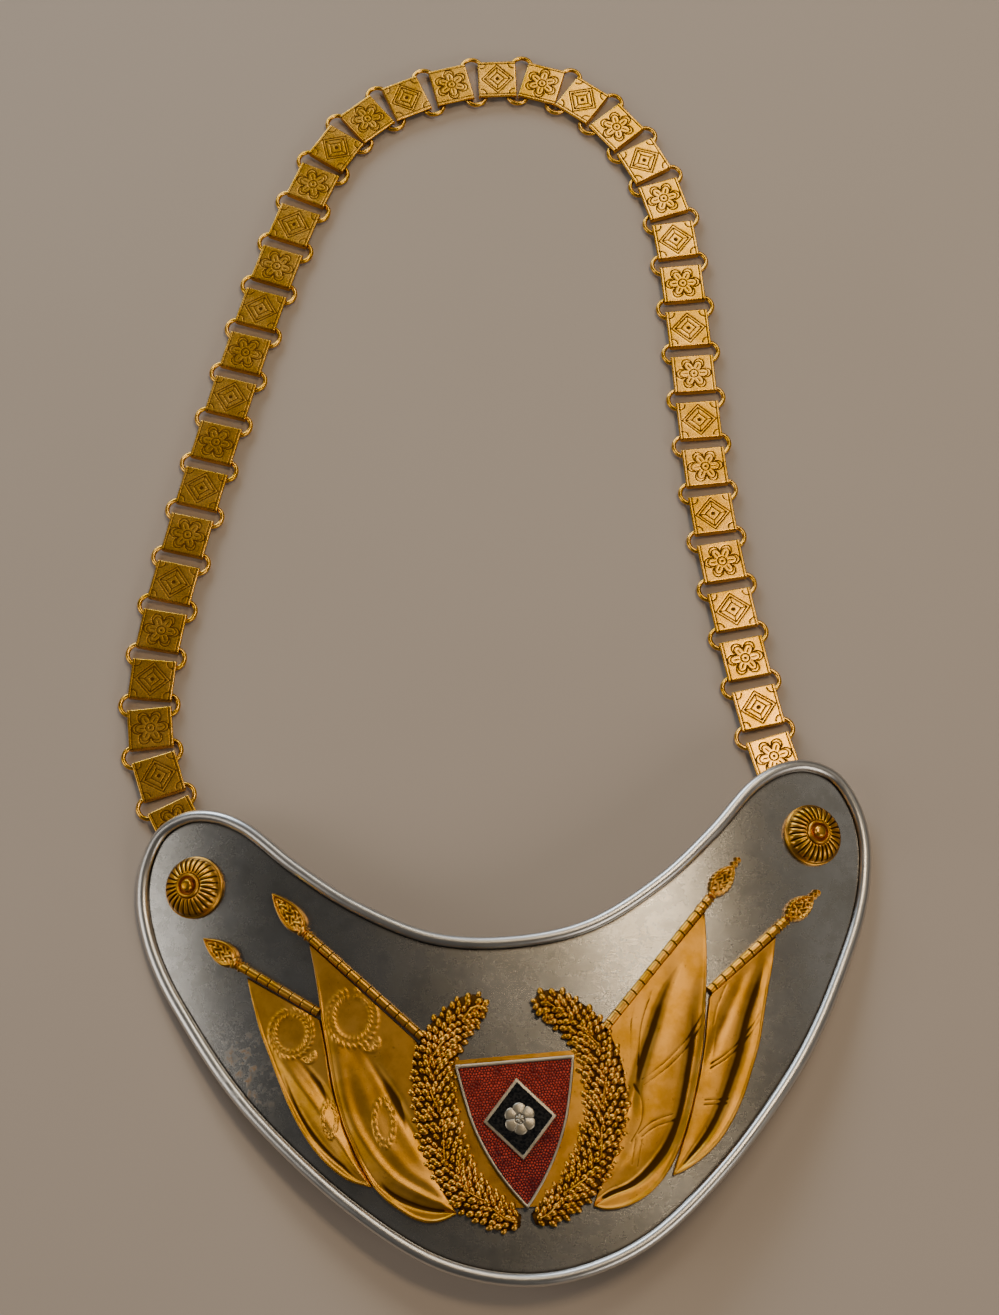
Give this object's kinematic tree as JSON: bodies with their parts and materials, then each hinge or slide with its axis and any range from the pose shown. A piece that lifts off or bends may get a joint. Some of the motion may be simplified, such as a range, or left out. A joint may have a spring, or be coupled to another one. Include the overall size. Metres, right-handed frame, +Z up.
{
  "type": "parade gorget with neck chain",
  "caption": "Crescent breastplate with a rolled rim, two gilt bosses, flags, wreath and enamelled shield, hung on a gilt chain of box links.",
  "frame": {"origin": "the middle of the underside of the whole lying object, on the surface it lies on", "axes": "+Z up out of the surface; +Y from the plate's lowest point towards the top of the chain loop; +X to the right across the plate, as seen from above"},
  "size_m": [0.2036, 0.3704, 0.0193],
  "materials": {
    "plate_aluminium": "satin sheet with a polished rolled rim",
    "gilt_cast": "gilt relief, brown in the recesses",
    "gilt_chain": "bright gilt",
    "tarnished_silver": "tarnished silver rim",
    "red_enamel": "glossy red vitreous enamel over a pebbled ground",
    "black_enamel": "glossy black vitreous enamel with silvered edges",
    "hook_brass": "plain dull brass"
  },
  "bodies": {
    "root": {"breastplate": "plate_aluminium", "boss_left": "gilt_cast", "boss_right": "gilt_cast", "flag_outer_left": "gilt_cast", "flag_inner_left": "gilt_cast", "flag_inner_right": "gilt_cast", "flag_outer_right": "gilt_cast", "staff_outer_left": "gilt_cast", "staff_inner_left": "gilt_cast", "staff_inner_right": "gilt_cast", "staff_outer_right": "gilt_cast", "wreath_left": "gilt_cast", "wreath_right": "gilt_cast", "shield": "tarnished_silver", "shield_enamel": "red_enamel", "shield_charge": "black_enamel", "hook_left": "hook_brass", "hook_right": "hook_brass", "end_ring": "gilt_chain", "link_01": "gilt_chain", "link_02": "gilt_chain", "link_03": "gilt_chain", "link_04": "gilt_chain", "link_05": "gilt_chain", "link_06": "gilt_chain", "link_07": "gilt_chain", "link_08": "gilt_chain", "link_09": "gilt_chain", "link_10": "gilt_chain", "link_11": "gilt_chain", "link_12": "gilt_chain", "link_13": "gilt_chain", "link_14": "gilt_chain", "link_15": "gilt_chain", "link_16": "gilt_chain", "link_17": "gilt_chain", "link_18": "gilt_chain", "link_19": "gilt_chain", "link_20": "gilt_chain", "link_21": "gilt_chain", "link_22": "gilt_chain", "link_23": "gilt_chain", "link_24": "gilt_chain", "link_25": "gilt_chain", "link_26": "gilt_chain", "link_27": "gilt_chain", "link_28": "gilt_chain", "link_29": "gilt_chain", "link_30": "gilt_chain", "link_31": "gilt_chain", "link_32": "gilt_chain", "link_33": "gilt_chain", "link_34": "gilt_chain", "link_35": "gilt_chain", "link_36": "gilt_chain", "link_37": "gilt_chain"}
  },
  "joints": []
}
